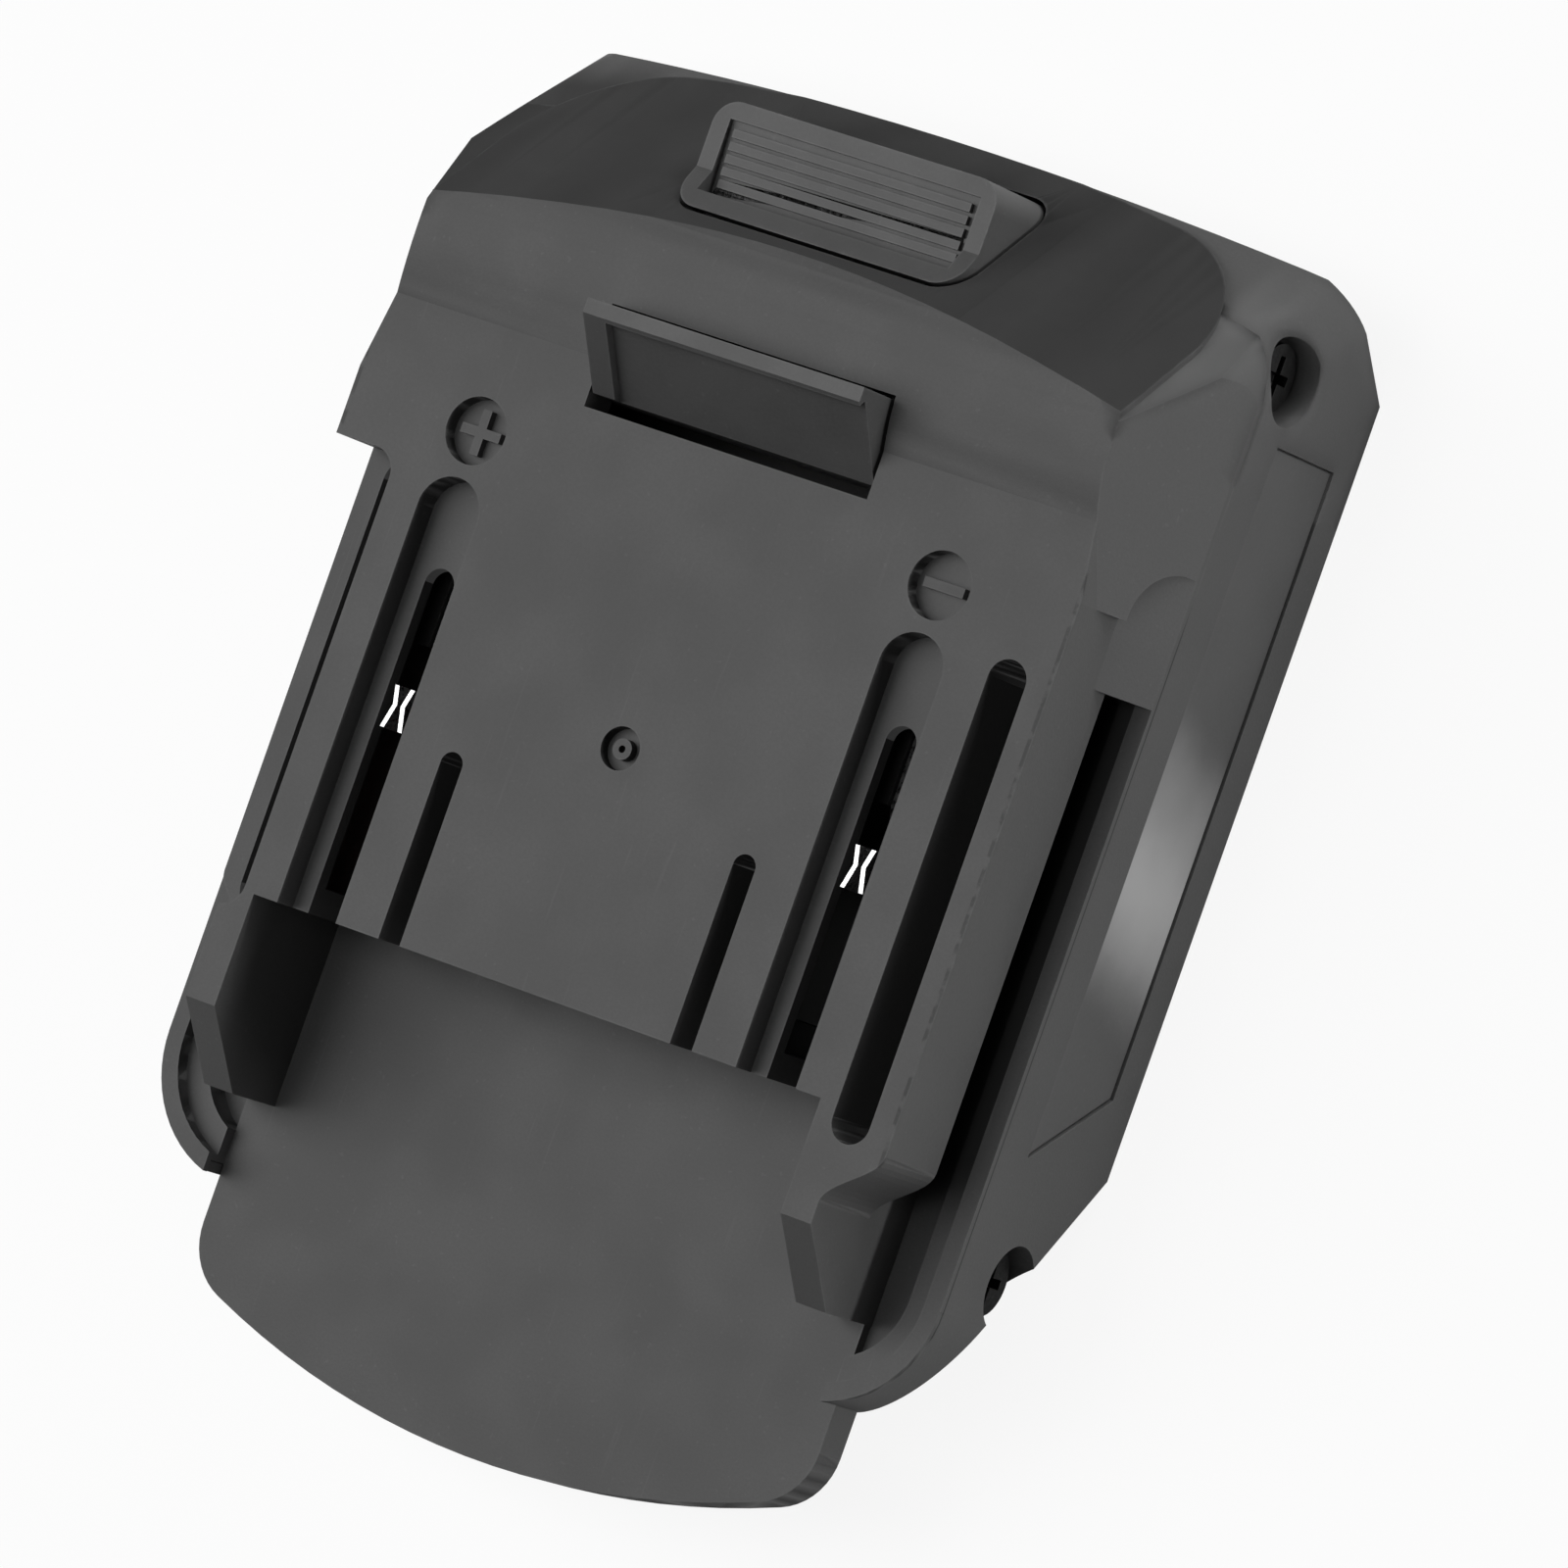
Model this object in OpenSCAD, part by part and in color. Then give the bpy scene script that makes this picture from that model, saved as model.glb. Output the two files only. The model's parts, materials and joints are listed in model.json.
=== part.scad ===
// Slide-on battery adapter for cordless tools. Millimetres.
// +Y points to the release button, +X to the minus contact, +Z to the tool.
// The origin is under the middle of the part, on the face that it rests on.

/* [Body] */
// Width across the side walls
body_w = 74; // [72:0.5:80]
// Height of the tool plate above the resting face
plate_h = 30; // [29.5:0.25:32]
// Distance from the origin to the front face
body_front = 54.6; // [54:0.2:57]
// Radius of the front end, seen from above
front_r = 450; // [300:10:600]
// Distance from the origin to the rear wall
body_rear = 41.9; // [40:0.1:44]
// Height of the joint between the two shells
parting_h = 18.4; // [18.2:0.1:18.6]
// Height of the upper shell's rim above that joint
rim_h = 0.6; // [0.5:0.1:0.9]
// Thickness of the side walls
wall = 2.2; // [2:0.1:2.4]
// Thickness of the upper shell's skin
skin = 2.2; // [1.8:0.1:2.6]
// Radius of the rear corners, seen from above
rear_r = 10; // [8:0.5:11]

/* [Slopes] */
// Height of the chamfer under the front end
chin_rise = 11.6; // [10:0.2:12.5]
// Length of the chamfer under the front end
chin_run = 8.9; // [7:0.1:10]
// Thickness of the wall along the rear slopes
slope_t = 1.8; // [1.5:0.1:2]
// Angle of the rear slope under the body
slope_angle = 39.5; // [36:0.5:44]
// Distance from the origin to the foot of the rear slope, in the middle
slope_foot = 27.5; // [26:0.5:30]
// How much further forward that foot lies at the side walls
slope_lead = 9.1; // [6:0.1:11]
// Half width of the rear slope's middle face
slope_mid = 29; // [27:0.5:30]
// Radius of the rounded corners between the front face and the side walls
cheek_r = 7; // [6:0.2:7.6]
// Depth of those corners' axes below the front face's upper edge, beyond their radius
cheek_in = 0.3; // [0:0.1:0.5]
// Angle at which those axes leave the front face's slope
cheek_lean = 5.5; // [4:0.5:6]

/* [Head] */
// Half width of the head at plate height
head_half = 33; // [32:0.25:34]
// Where the neck rises from the plate
crease_y = 29; // [28.5:0.1:30]
// Height of the neck's crown above the plate
crown = 1.2; // [0.6:0.1:1.8]
// Where the front face meets the neck, on the centre line
face_y = 41.5; // [41:0.1:42]
// Slope of the front face
face_angle = 50; // [47:0.5:52]
// Radius of the front face's bulge
face_r = 220; // [150:5:400]
// Depth of the cheeks below the front face
face_step = 0.5; // [0.2:0.1:0.9]
// Half width of the front face
face_half = 32.4; // [31.5:0.1:32.8]
// Radius of the front face's lower corners
face_corner = 9.6; // [7:0.2:11]
// Height of the front face's lower edge
face_foot = 14; // [13.4:0.1:14.2]

/* [Tool plate] */
// Distance from the origin to the rear edge of the plate
plate_rear = 19.4; // [18.5:0.1:20.5]
// Thickness of the plate
plate_t = 3.8; // [3.4:0.1:4.2]
// Distance of the power contacts from the centre line
contact_x = 21.9; // [21.4:0.1:22.2]
// Width of the power recesses
recess_w = 5.7; // [5:0.1:6]
// Depth of the power recesses
recess_d = 2.5; // [2:0.1:2.7]
// Front end of the power recesses
recess_y = 16.7; // [15:0.1:17]
// Width of the slots in the floor of the power recesses
power_slot_w = 2.7; // [2.6:0.1:3.2]
// Front end of those slots
power_slot_y = 9.6; // [9:0.1:11]
// Distance of the two clearance slots from the centre line
clear_x = 13.9; // [12:0.1:15]
// Width of the two clearance slots
clear_w = 2.05; // [1.6:0.05:2.6]
// Front end of the two clearance slots
clear_y = -3.7; // [-6:0.1:-2]
// Diameter of the polarity recesses
sign_d = 5.5; // [5:0.1:5.8]
// Where the polarity recesses lie
sign_y = 20.6; // [20.2:0.1:22]
// Depth of the polarity recesses
sign_depth = 1.5; // [0.8:0.1:1.8]
// Length of the strokes of the plus and the minus
sign_stroke = 3.7; // [3:0.1:4.4]
// Width of those strokes
sign_w = 0.8; // [0.6:0.1:1]
// Diameter of the moulding gate's ring
gate_d = 3.5; // [3:0.1:4.5]
// Depth of that ring
gate_depth = 1.2; // [0.6:0.1:1.6]
// Diameter of the pin inside the ring
gate_pin = 1.7; // [1.2:0.1:2]
// Depth of the pin's top below the plate
gate_low = 0.3; // [0.1:0.05:0.5]
// Diameter of the dimple in the pin
gate_dimple = 0.6; // [0.4:0.1:0.8]
// Where the gate lies
gate_y = 0.8; // [-2:0.1:3]

/* [Rails] */
// Half width across the two rails
rail_half = 34; // [33.5:0.1:34.4]
// Height of the rails' undersides
rail_under = 21.4; // [21:0.1:21.5]
// Half width of the core between the rails
core_half = 29.6; // [29.2:0.1:30]
// Front end of the rail grooves
rail_front = 17; // [16:0.1:19]
// Front end of the shoulders beside the rails
shoulder_front = 27.5; // [26.5:0.1:28.2]
// Corner radius at the front end of the shoulders
shoulder_r = 4.4; // [3:0.1:4.8]
// Height of the shoulders' upper edge
shoulder_top = 23.4; // [23:0.1:24]
// Where the head's leaning sides start
side_break = 22.7; // [21:0.1:24]
// Height of the shelf in the rail grooves
shelf_h = 17.6; // [17.5:0.1:17.8]
// Thickness of the shelf and of the channel's floor
shelf_t = 1.4; // [1.2:0.1:1.6]
// Height of the floor of the channel beside the core
channel_h = 15.2; // [15:0.1:15.4]
// Half width across the two channels
channel_half = 33.4; // [32.5:0.1:33.5]
// Width of the rim beside the grooves
rim_w = 1.5; // [1.4:0.1:1.8]
// Thickness of the lower shell's lip outside the upper shell
lip_t = 0.8; // [0.6:0.1:1]
// Width of the long slot in the minus rail
rail_slot_w = 3.4; // [2.4:0.1:3.6]
// Thickness of the rail's outer lip beside that slot
rail_lip = 2.1; // [1.6:0.1:2.4]
// Depth of that slot
rail_slot_d = 7; // [5:0.1:7.4]
// Rear end of that slot
rail_slot_rear = -22.1; // [-22.4:0.1:-20]
// Depth of the plus rail's lip below the plate
plus_drop = 6; // [5:0.1:6.4]
// Thickness of the plus rail's lip
plus_lip = 1.85; // [1.6:0.05:2.2]
// Width of the slot between that lip and the plate
plus_slot_w = 4.15; // [3.6:0.05:4.4]
// Rear end of the plus rail's lip
plus_rear = -21; // [-22:0.1:-20]
// Where the rails start to narrow to the legs
taper_y = -22; // [-22.2:0.1:-21]
// Length of that narrowing
taper_run = 5; // [3.5:0.1:6]

/* [Tongue and legs] */
// Distance from the origin to the tip of the tongue
tongue_tip = 55.4; // [50:0.2:60]
// Half width of the tongue
tongue_half = 29.7; // [29.2:0.1:30]
// Height of the tongue's top
tongue_h = 16.3; // [16:0.1:16.9]
// Thickness of the tongue
tongue_t = 3.6; // [3:0.1:3.7]
// Radius of the tongue's tip
tongue_tip_r = 73; // [50:1:120]
// Radius of the tongue's corners
tongue_r = 5.5; // [3:0.5:7]
// Thickness of the legs
leg_t = 2.8; // [2.4:0.1:3.1]
// Length of the legs at plate height, behind the plate
leg_run = 9.3; // [7:0.1:11]
// Length of the slope at the end of the legs
leg_slope_run = 6.2; // [5:0.1:7]
// Height of that slope
leg_slope_rise = 7.0; // [6:0.1:9]

/* [Battery receptacle] */
// Height of the receptacle's ceiling
ceiling_h = 8.6; // [8.4:0.1:8.8]
// Thickness of the deck above it
deck_t = 2; // [1.8:0.1:2.2]
// Height of the two lips that carry the battery
lip_h = 3.2; // [2.8:0.1:3.6]
// Half width of the gap between the lips
mouth_half = 28; // [26:0.5:30]
// Distance from the origin to the wall that stops the battery
stop_y = -12; // [-13:0.1:-11]
// Thickness of that wall and of the shell's floor behind it
stop_t = 2.5; // [2:0.1:2.8]
// Half width of the pocket for the battery's own hook
pocket_half = 12.5; // [10:0.5:14]
// Rear end of that pocket
pocket_y = 19; // [14.5:0.1:20]
// Length of that pocket
pocket_l = 3.8; // [3:0.1:3.9]

/* [Latch] */
// Travel of the latch when the button is pressed
travel = 5.5; // [4.5:0.1:5.7]
// Half width of the hook
hook_half = 13; // [11:0.1:13.2]
// Height of the hook above the plate
hook_h = 5.5; // [4.5:0.1:6]
// Foot of the hook's ramp, at plate height
hook_y = 26.3; // [26.1:0.1:26.8]
// Width of the hook's flat top
hook_top = 1.2; // [0.8:0.1:1.6]
// Width of the raised border at the left end of the ramp
hook_border = 2.1; // [1.2:0.1:2.6]
// Width of the border along the top of the ramp
hook_lip = 0.4; // [0.3:0.1:1]
// Depth of the panel beside those borders
hook_panel = 0.7; // [0.3:0.1:0.8]
// Room in the plate in front of the hook
hook_room = 1.2; // [0.7:0.1:1.6]
// Half width of the button
button_half = 13.3; // [11:0.1:13.8]
// Rear face of the button
button_y = 42.6; // [42.4:0.1:43]
// Length of the button
button_l = 9.1; // [8.6:0.1:9.3]
// Corner radius of the button
button_r = 2.2; // [1.5:0.1:2.6]
// Height of the button's rear edge below the plate
button_rear_drop = 1.5; // [1:0.1:2]
// Height of the button's level front part below the plate
button_front_drop = 3.9; // [2.8:0.1:4.4]
// Length of the sloping stretch behind that part
button_slope = 3.3; // [2.5:0.1:4]
// Width of the rim round the button's scoop
button_rim = 1.5; // [1.2:0.1:2]
// Depth of the scoop at its rear end
scoop_d = 3.4; // [2:0.1:3.8]
// Depth of the scoop at its front end
scoop_front_d = 0.45; // [0.3:0.05:0.8]
// Number of grip ribs in the scoop
rib_n = 5; // [3:1:6]
// Width of a grip rib
rib_w = 0.7; // [0.4:0.1:0.8]
// Height of a grip rib
rib_h = 0.5; // [0.3:0.05:0.7]
// Distance of the ribs' ends from the scoop's sides
rib_in = 0.6; // [0.4:0.1:1]
// Height of the latch's bridge
bridge_h = 20.5; // [20.2:0.1:20.9]
// Thickness of the bridge
bridge_t = 3; // [2.5:0.1:3.2]
// Width of the wings that stop the latch under the plate
wing = 2.5; // [2:0.1:3]
// Distance of the springs from the centre line
spring_x = 8; // [6:0.1:9]
// Where the springs stand
spring_y = 37; // [36.5:0.1:38]
// Outer diameter of the springs
spring_d = 6; // [5.4:0.1:6.4]
// Wire diameter of the springs
spring_wire = 0.7; // [0.5:0.05:0.8]
// Turns of each spring
spring_turns = 6; // [5:1:7]

/* [Contacts] */
// Height of the clips' tops below the plate
clip_drop = 2.8; // [2.6:0.1:3.4]
// Height of the clips' leaves
clip_h = 9; // [7:0.1:10]
// Depth of the leaves' upper edge below the plate's underside, behind their tips
clip_step = 4; // [3:0.1:5]
// Thickness of the clips
clip_t = 0.45; // [0.3:0.05:0.5]
// Where the clips pinch
clip_y = -1.7; // [-2.4:0.1:-1]
// Half length of the flared stretch at the pinch
clip_flare_l = 2; // [1.6:0.1:2.4]
// Gap between a clip's leaves where they flare
clip_flare_w = 1.3; // [1:0.1:1.4]
// Gap between a clip's leaves where they pinch
clip_pinch = 0.3; // [0.2:0.05:0.6]
// Gap between a clip's leaves at its back
clip_back_w = 3; // [2.4:0.1:3.4]
// Rear face of the carrier
carrier_y = 3.5; // [3:0.1:4.2]
// Length of the carrier
carrier_l = 8; // [7:0.1:9]
// Height of the carrier's posts
carrier_h = 12; // [10:0.1:12.6]
// Height of the carrier's bar
bar_h = 4; // [3.6:0.1:5]
// Thickness of the walls round the clips
carrier_wall = 1.4; // [1.1:0.1:1.6]
// Length of the solder tab behind the carrier
tab_l = 4; // [3:0.1:5]
// Height of the solder tab
tab_h = 2.2; // [1.8:0.1:2.4]

/* [Terminal block] */
// Half width of the terminal block
block_half = 27; // [26:0.1:27.6]
// Length of the terminal block
block_l = 6; // [5:0.1:6.4]
// Height of the terminal block's top
block_h = 9.2; // [8.8:0.1:9.4]
// Thickness of the blades
blade_t = 0.8; // [0.6:0.1:1]
// Height of the blades
blade_w = 4; // [3.4:0.1:4.4]
// Height of the blades' lower edge
blade_z = 4; // [3.8:0.1:4.4]
// Reach of the blades into the receptacle
blade_reach = 10; // [8:0.1:12]
// Length of the blades behind the block
blade_tail = 3.6; // [3:0.1:4.4]

/* [Leads] */
// Diameter of the leads
lead_d = 2.2; // [1.8:0.1:2.2]
// Outer diameter of the sleeves on the solder joints
sleeve_d = 3.4; // [3:0.1:3.6]
// Length of those sleeves
sleeve_l = 3.5; // [3:0.1:4]

/* [Screws] */
// Thickness of the front face over the front screw bosses
boss_skin = 0.9; // [0.7:0.1:1.2]
// Diameter of the screw holes' mouths in the side walls
mouth_d = 7; // [6.2:0.1:7]
// Where the front screws lie
front_screw_y = 44.5; // [44:0.1:45]
// Height of the front screws
front_screw_h = 14.4; // [14.2:0.1:14.6]
// Where the rear screws lie
rear_screw_y = -28.7; // [-29.2:0.1:-28.2]
// Height of the rear screws
rear_screw_h = 9.6; // [9.4:0.1:10]
// Diameter of the shell screws
screw_d = 3; // [2.6:0.1:3.2]
// Diameter of the shell screws' heads
screw_head_d = 5.6; // [5:0.1:6]
// Height of the shell screws' heads
screw_head_h = 2.2; // [1.8:0.1:2.4]
// Length of the shell screws below the head
screw_l = 10; // [8:0.5:11]
// Length of the lugs that take the shell screws
lug_l = 9.5; // [8:0.5:10.5]
// Depth of the seats under the shell screws' heads
seat_depth = 4; // [3.6:0.1:4.6]
// Diameter of the small screws
small_d = 2; // [1.6:0.1:2.2]
// Diameter of the small screws' heads
small_head_d = 3.8; // [3.2:0.1:4]
// Length of the small screws below the head
small_l = 5; // [4.5:0.1:5.2]
// Distance of the carrier's screws from the centre line
carrier_screw_x = 9; // [7:0.1:11]
// Distance of the terminal block's screws from the centre line
block_screw_x = 10; // [8:0.1:12]

/* [Side panels] */
// Depth of the recess in each side wall
panel_depth = 0.6; // [0.4:0.1:0.9]
// Thickness of the inlay in that recess
panel_t = 0.4; // [0.3:0.05:0.4]
// Height of the recess's lower edge
panel_low = 3.6; // [3:0.1:4.2]
// Height of the recess
panel_h = 10.2; // [8:0.1:10.4]
// Front end of the recess
panel_front = 39.5; // [36:0.5:40]
// Rear end of the recess's lower edge
panel_rear = -12.3; // [-13:0.1:-8]
// How much further back its upper edge ends
panel_lean = 6.3; // [4:0.1:7]

/* [Clearances] */
// Clearance round the moving latch
run_gap = 0.35; // [0.3:0.05:0.5]
// Clearance between fixed pieces
seat_gap = 0.1; // [0.05:0.05:0.15]

/* [Hidden] */
$fn = 96;
reach = 200;
over = 1;
half_w = body_w / 2;
shoulder_h = parting_h + rim_h;
deck_h = ceiling_h + deck_t;
inner_half = core_half - skin - 1.2;
head_inner = head_half - skin - 0.3;
rim_half = half_w - rim_w;
nest_half = half_w - lip_t - seat_gap;
plate_under = plate_h - plate_t;
neck_under = plate_h - skin - 0.5;
button_front = button_y + button_l;
hook_back = hook_y + hook_h + hook_top;
leg_out = core_half + 0.2;
leg_in = leg_out - leg_t;
seat_x = half_w - seat_depth;
boss_in = slope_mid + seat_gap;
cheek_x = half_w - cheek_r + seat_gap;
boss_w = mouth_d + 1.6;
lug_w = screw_d + 3;
boss_top = min(parting_h, front_screw_h + boss_w / 2 - 0.4);
wedge_y = face_y + (plate_h - parting_h) / tan(face_angle) - skin / sin(face_angle) - 1;
inner_w = half_w - wall;
tray_under = channel_h - shelf_t;
tail_y = stop_y - stop_t - seat_gap - block_l;
lead_x = contact_x;
tab_z = deck_h + 1.6;
spring_l = bridge_h - deck_h;
echo("least gap between the turns of a spring", spring_l / spring_turns - spring_wire);

// Shared helpers

// A box between two values on each axis
module box(x, y, z) {
    translate([x[0], y[0], z[0]]) cube([x[1] - x[0], y[1] - y[0], z[1] - z[0]]);
}

// Everything on the outer side of a plane
module beyond(point, normal) {
    translate(point)
        rotate([0, acos(normal.z / norm(normal)), atan2(normal.y, normal.x)])
            translate([-reach, -reach, 0]) cube(2 * reach);
}

// A profile drawn in Y and Z, between two values of X
module across(x) {
    translate([x[0], 0, 0]) rotate([90, 0, 90]) linear_extrude(x[1] - x[0]) children();
}

// A slot along Y with a round front end and, if wanted, a round rear end
module slot(x, w, y, z, round_rear = false) {
    rear = round_rear ? y[0] + w / 2 : y[0];
    box([x - w / 2, x + w / 2], [rear, y[1] - w / 2], z);
    translate([x, y[1] - w / 2, z[0]]) cylinder(d = w, h = z[1] - z[0]);
    if (round_rear) translate([x, rear, z[0]]) cylinder(d = w, h = z[1] - z[0]);
}

// A block with two round rear corners, seen from above
module rear_rounded(half, y, z, r) {
    box([-half, half], [y[0] + r, y[1]], z);
    box([-half + r, half - r], [y[0], y[0] + 2 * r], z);
    for (s = [-1, 1]) translate([s * (half - r), y[0] + r, z[0]]) cylinder(r = r, h = z[1] - z[0]);
}

module both_sides() {
    children();
    mirror([1, 0, 0]) children();
}

// Outer form shared by the two shells

// Everything under the bulging front face, sunk by a depth
module under_face(depth) {
    normal = [0, sin(face_angle), cos(face_angle)];
    translate([0, face_y, plate_h] - (face_r + depth) * normal)
        rotate([90 - face_angle, 0, 0]) cylinder(r = face_r, h = 2 * reach, center = true, $fn = 180);
}

// Outline of the front face, seen from the front, as a block through the front end
module face_outline(grow) {
    half = face_half + grow;
    low = face_foot - grow;
    r = face_corner + grow;
    back = face_y - 6;
    box([-half, half], [back, body_front + over], [low + r, plate_h + 3]);
    box([-half + r, half - r], [back, body_front + over], [low, low + 2 * r]);
    for (s = [-1, 1]) translate([s * (half - r), back, low + r])
        rotate([-90, 0, 0]) cylinder(r = r, h = body_front + over - back);
}

// The front end outside that outline, which lies a step lower
// Everything behind the slightly round front end
module behind_front() {
    translate([0, body_front - front_r, -over]) cylinder(r = front_r, h = plate_h, $fn = 360);
}
module cheek_cut() {
    difference() {
        union() {
            difference() {
                box([-half_w - over, half_w + over], [face_y - 5, body_front + over], [0, plate_h + 3]);
                under_face(face_step);
            }
            translate([0, face_y, plate_h]) rotate([90 - face_angle - cheek_lean, 0, 0]) both_sides()
                linear_extrude(2 * reach, center = true) translate([cheek_x, -cheek_r - cheek_in])
                    difference() {
                        square([cheek_r + over, cheek_r + 2 * over]);
                        circle(cheek_r);
                    }
        }
        face_outline(0);
    }
}

// The rear slopes under the body, moved inwards by a thickness
module rear_slopes(t) {
    down = [0, -sin(slope_angle), -cos(slope_angle)];
    side = [slope_lead * tan(slope_angle) / (half_w - slope_mid), -tan(slope_angle), -1];
    beyond([0, -slope_foot, 0] - t * down, down);
    both_sides() beyond([slope_mid, -slope_foot, 0] - t * side / norm(side), side);
}

// Upper shell: tool plate, neck, front face, rails, legs and tongue

// A profile drawn in X and Z, between two values of Y
module along(y) {
    translate([0, y[1], 0]) rotate([90, 0, 0]) linear_extrude(y[1] - y[0]) children();
}

module head() {
    lean = (half_w - head_half) / (plate_h - shoulder_h);
    c = (face_y - crease_y) / 2;
    crown_r = (c * c + crown * crown) / (2 * crown);
    top = plate_h + 2 * crown;
    top_half = head_half - 2 * crown * lean;
    difference() {
        intersection() {
            along([side_break, body_front]) polygon([[-half_w, parting_h], [half_w, parting_h],
                [half_w, shoulder_h], [top_half, top], [-top_half, top], [-half_w, shoulder_h]]);
            union() {
                box([-half_w, half_w], [0, body_front], [0, plate_h]);
                translate([0, crease_y + c, plate_h + crown - crown_r]) rotate([0, 90, 0])
                    cylinder(r = crown_r, h = body_w, center = true);
            }
            under_face(0);
        }
        cheek_cut();
        shoulder_pockets();
    }
    // The head's sides widen to the rails at plate height
    translate([0, 0, shoulder_top + over]) linear_extrude(plate_h - shoulder_top - over)
        polygon([[-rail_half, side_break - over], [rail_half, side_break - over], [rail_half, side_break],
            [head_half, crease_y], [-head_half, crease_y], [-rail_half, side_break]]);
    // The front face reaches down between the lower shell's cheeks
    difference() {
        intersection() {
            face_outline(0);
            box([-half_w, half_w], [wedge_y, body_front + over], [0, parting_h + over]);
            under_face(0);
            behind_front();
        }
        intersection() {
            both_sides() box([boss_in - seat_gap, half_w],
                [front_screw_y - boss_w / 2 - seat_gap, front_screw_y + boss_w / 2 + seat_gap],
                [0, boss_top + seat_gap]);
            under_face(boss_skin);
        }
    }
}

// The shoulders end in a sunk face with a round corner in the head's sides
module shoulder_pockets() {
    run = half_w - rail_half;
    drop = shoulder_top - shoulder_h;
    long = norm([run, drop]) + over;
    both_sides() translate([rail_half, 0, shoulder_top]) rotate([0, atan2(drop, run), 0]) linear_extrude(6) {
        translate([shoulder_r, side_break - over])
            square([long - shoulder_r, shoulder_front - side_break + over]);
        translate([0, side_break - over])
            square([long, shoulder_front - shoulder_r - side_break + over]);
        translate([shoulder_r, shoulder_front - shoulder_r]) circle(shoulder_r);
    }
}

// Plan of a rail: straight, then narrowing to the leg in a smooth curve
module rail_plan(out, rear) {
    steps = 12;
    polygon(concat([[leg_in, side_break], [out, side_break]],
        [for (i = [0:steps]) [out - (out - leg_out) * (1 - cos(180 * i / steps)) / 2,
            rear - taper_run * i / steps]],
        [[leg_in, rear - taper_run]]));
}

module rails() {
    translate([0, 0, rail_under]) linear_extrude(plate_h - rail_under) rail_plan(rail_half, taper_y);
    mirror([1, 0, 0]) difference() {
        translate([0, 0, rail_under]) linear_extrude(plate_h - rail_under)
            rail_plan(rail_half, plus_rear + taper_run / 2);
        box([leg_out, reach], [-reach, rail_front], [plate_h - plus_drop, plate_h + over]);
    }
    box([-core_half, core_half], [-plate_rear, shoulder_front], [tray_under, plate_h]);
    along([rail_front, side_break]) polygon([[-half_w, parting_h], [half_w, parting_h], [half_w, shoulder_h],
        [rail_half, shoulder_top], [rail_half, plate_h], [-rail_half, plate_h], [-rail_half, shoulder_top],
        [-half_w, shoulder_h]]);
}

// Floor, shelf and rim of the grooves beside the rails
module groove_tray() {
    top = shoulder_h;
    channel_w = half_w - channel_half;
    difference() {
        union() {
            rear_rounded(nest_half, [-body_rear + lip_t + seat_gap, shoulder_front],
                [shelf_h - shelf_t, parting_h + rim_h / 2], rear_r - lip_t);
            rear_rounded(half_w, [-body_rear, shoulder_front], [parting_h, top], rear_r);
            difference() {
                rear_rounded(inner_w - seat_gap, [-body_rear + wall + seat_gap, shoulder_front],
                    [tray_under, shelf_h], rear_r - wall);
                rear_slopes(slope_t + seat_gap);
            }
        }
        rear_rounded(rim_half, [-body_rear + rim_w, rail_front], [shelf_h, top + over], rear_r - rim_w);
        rear_rounded(channel_half, [-body_rear + channel_w, rail_front], [channel_h, top + over],
            rear_r - channel_w);
        box([-tongue_half, tongue_half], [-body_rear - over, -plate_rear], [0, top + over]);
    }
}

module legs() {
    start = -plate_rear + over;
    rear = -plate_rear - leg_run;
    both_sides() across([leg_in, leg_out]) polygon([[start, tongue_h - over], [start, plate_h],
        [rear, plate_h], [rear - leg_slope_run, plate_h - leg_slope_rise],
        [rear - leg_slope_run, tongue_h - over]]);
}

// The tongue's tip is an arc, and its corners run into that arc and into the sides
module tongue() {
    middle = tongue_tip_r - tongue_tip;
    corner_x = tongue_half - tongue_r;
    corner_y = middle - sqrt(pow(tongue_tip_r - tongue_r, 2) - corner_x * corner_x);
    touch_x = corner_x * tongue_tip_r / (tongue_tip_r - tongue_r);
    z = [tongue_h - tongue_t, tongue_h];
    box([-tongue_half, tongue_half], [corner_y, -plate_rear + over], z);
    intersection() {
        box([-touch_x, touch_x], [-tongue_tip, corner_y + over], z);
        translate([0, middle, z[0] - over]) cylinder(r = tongue_tip_r, h = tongue_t + 2 * over, $fn = 240);
    }
    for (s = [-1, 1]) translate([s * corner_x, corner_y, z[0]]) cylinder(r = tongue_r, h = tongue_t);
}

// Lugs inside the upper shell that take the shell screws
module lugs() {
    x = [boss_in - lug_l, boss_in - 2 * seat_gap];
    front = [front_screw_y - lug_w / 2, front_screw_y + lug_w / 2];
    both_sides() {
        intersection() {
            box([x[0], head_inner + over], front, [parting_h + seat_gap, plate_h]);
            under_face(skin / 2);
        }
        box(x, front, [front_screw_h - lug_w / 2, parting_h + over]);
        box(x, [rear_screw_y - lug_w / 2, rear_screw_y + lug_w / 2],
            [rear_screw_h - lug_w / 2, tongue_h - tongue_t / 2]);
    }
}

module upper_hollow() {
    box([-inner_half, inner_half], [-plate_rear + skin, shoulder_front + skin + over], [0, plate_under]);
    intersection() {
        box([-head_inner, head_inner], [shoulder_front + skin, body_front], [0, neck_under]);
        under_face(skin);
    }
}

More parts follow.
